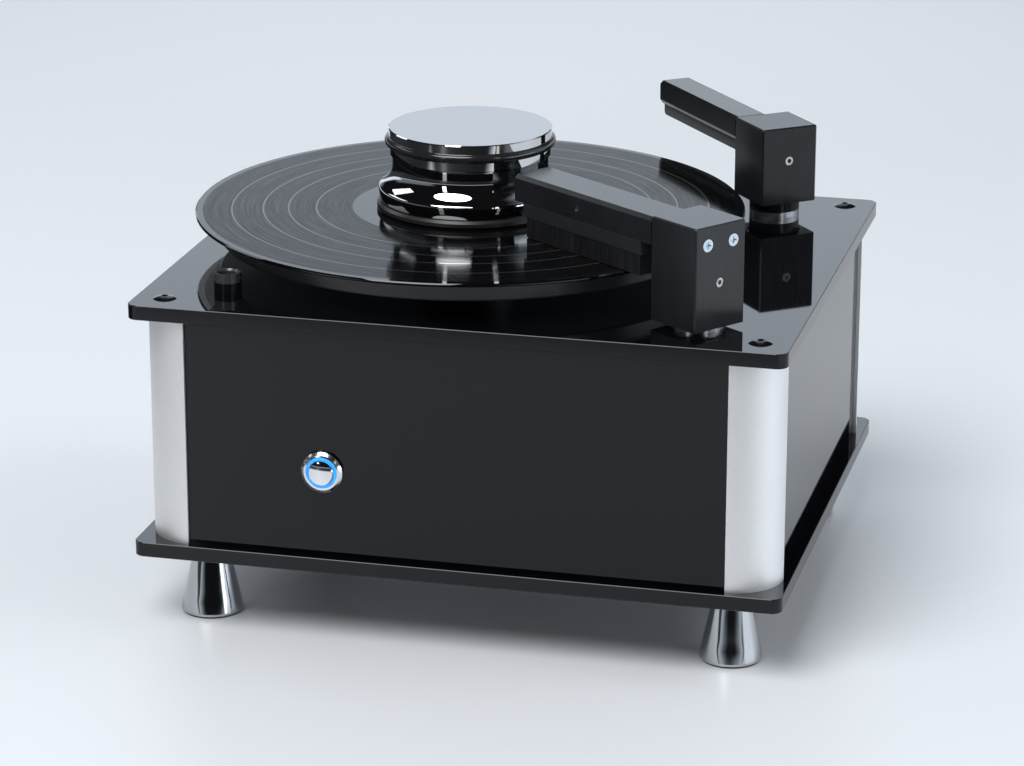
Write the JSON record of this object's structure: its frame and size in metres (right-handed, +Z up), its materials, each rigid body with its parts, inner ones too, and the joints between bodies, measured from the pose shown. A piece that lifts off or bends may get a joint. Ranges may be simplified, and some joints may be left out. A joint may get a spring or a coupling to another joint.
{
  "type": "record cleaning machine",
  "caption": "Low casing on turned feet, with a driven platter, record, screw-down clamp, swinging brush arm and suction arm, filler neck and lit start button.",
  "frame": {"origin": "on the standing surface, under the centre of the casing's two plates", "axes": "+X to the right along the front, +Y to the back, +Z up"},
  "size_m": [0.3561, 0.3537, 0.2508],
  "materials": {
    "gloss_black_acrylic": "polished black acrylic plate",
    "black_panel": "smooth satin black panel",
    "satin_aluminium": "fine satin anodised aluminium",
    "chrome": "mirror chrome",
    "rubber": "smooth black rubber",
    "platter_metal": "satin black",
    "vinyl": "grooved black vinyl",
    "anodised_black": "satin black anodised, crisp edges",
    "zinc_screw": "bright zinc-plated",
    "polished_steel": "polished stainless steel",
    "bristle": "dense fine black bristles",
    "velvet": "short black velvet pile",
    "filler_black": "turned black plastic",
    "light_ring": "blue lit ring",
    "inlet_black": "moulded black plastic",
    "brass": "nickel-brass contact pins",
    "steel_inner": "plain machined steel",
    "tank_plastic": "milky moulded polyethylene",
    "motor_body": "grey painted motor case",
    "board_green": "solder-masked board",
    "hose_rubber": "black hose"
  },
  "bodies": {
    "root": {"base_plate": "gloss_black_acrylic", "top_plate": "gloss_black_acrylic", "front_panel": "black_panel", "rear_panel": "black_panel", "left_panel": "black_panel", "right_panel": "black_panel", "corner_post_front_left": "satin_aluminium", "corner_post_front_right": "satin_aluminium", "corner_post_rear_left": "satin_aluminium", "corner_post_rear_right": "satin_aluminium", "feet": "chrome", "foot_pads": "rubber", "foot_fixings": "steel_inner", "case_screws": "polished_steel", "spindle_bearing_housing": "satin_aluminium", "spindle_bearings": "steel_inner", "platter_gear_motor": "motor_body", "motor_bracket": "steel_inner", "brush_arm_ring": "chrome", "brush_arm_guide": "steel_inner", "suction_arm_ring": "chrome", "suction_arm_guide": "steel_inner", "filler_neck": "filler_black", "start_button_bezel": "chrome", "start_button_light": "light_ring", "power_inlet": "inlet_black", "power_inlet_pins": "brass", "power_switch_frame": "inlet_black", "clean_fluid_tank": "tank_plastic", "waste_fluid_tank": "tank_plastic", "tank_rails": "inlet_black", "fluid_pump": "motor_body", "vacuum_turbine": "motor_body", "hoses": "hose_rubber", "power_supply": "steel_inner", "control_board": "board_green"},
    "platter": {"platter": "platter_metal", "platter_mat": "rubber", "record_disc": "vinyl", "spindle_shaft": "polished_steel", "shaft_coupling": "steel_inner"},
    "clamp": {"clamp_body": "chrome", "clamp_o_ring": "rubber", "clamp_base_ring": "rubber"},
    "brush_column": {"brush_arm_column": "anodised_black"},
    "brush_arm": {"brush_arm_block": "anodised_black", "brush_arm_bar": "anodised_black", "brush_holder": "anodised_black", "brush_bristles": "bristle", "brush_arm_screws": "zinc_screw", "brush_arm_shaft": "polished_steel"},
    "suction_column": {"suction_arm_column": "anodised_black", "suction_lift_spring": "steel_inner"},
    "suction_arm": {"suction_arm_block": "anodised_black", "suction_arm_bar": "anodised_black", "suction_lips": "velvet", "suction_arm_grub_screw": "zinc_screw", "suction_arm_shaft": "polished_steel"},
    "start_button": {"start_button_cap": "chrome"},
    "power_rocker": {"power_switch_rocker": "inlet_black"}
  },
  "joints": [
    {"name": "platter_spin", "type": "hinge", "parent": "root", "child": "platter", "pos_m": [-0.028, 0.001, 0.182], "axis": [0, 0, 1], "continuous": true},
    {"name": "clamp_lift", "type": "slide", "parent": "platter", "child": "clamp", "axis": [0, 0, 1], "range_m": [0, 0.05]},
    {"name": "brush_arm_swing", "type": "hinge", "parent": "root", "child": "brush_column", "pos_m": [0.1225, -0.113, 0.185], "axis": [0, 0, 1], "range_deg": [-90, 5]},
    {"name": "brush_arm_lift", "type": "slide", "parent": "brush_column", "child": "brush_arm", "axis": [0, 0, 1], "range_m": [0, 0.008]},
    {"name": "suction_arm_swing", "type": "hinge", "parent": "root", "child": "suction_column", "pos_m": [0.1227, 0.1113, 0.185], "axis": [0, 0, 1], "range_deg": [-5, 88.5]},
    {"name": "suction_arm_lift", "type": "slide", "parent": "suction_column", "child": "suction_arm", "axis": [0, 0, 1], "range_m": [-0.0094, 0], "stiffness_N_per_m": 500, "springref_m": 0.01, "deforming": ["suction_lift_spring"]},
    {"name": "start_button_press", "type": "slide", "parent": "root", "child": "start_button", "axis": [0, 1, 0], "range_m": [0, 0.0014], "stiffness_N_per_m": 600, "springref_m": -0.0008},
    {"name": "power_switch_rock", "type": "hinge", "parent": "root", "child": "power_rocker", "pos_m": [0.092, 0.1436, 0.084], "axis": [1, 0, 0], "range_deg": [0, 18]}
  ]
}
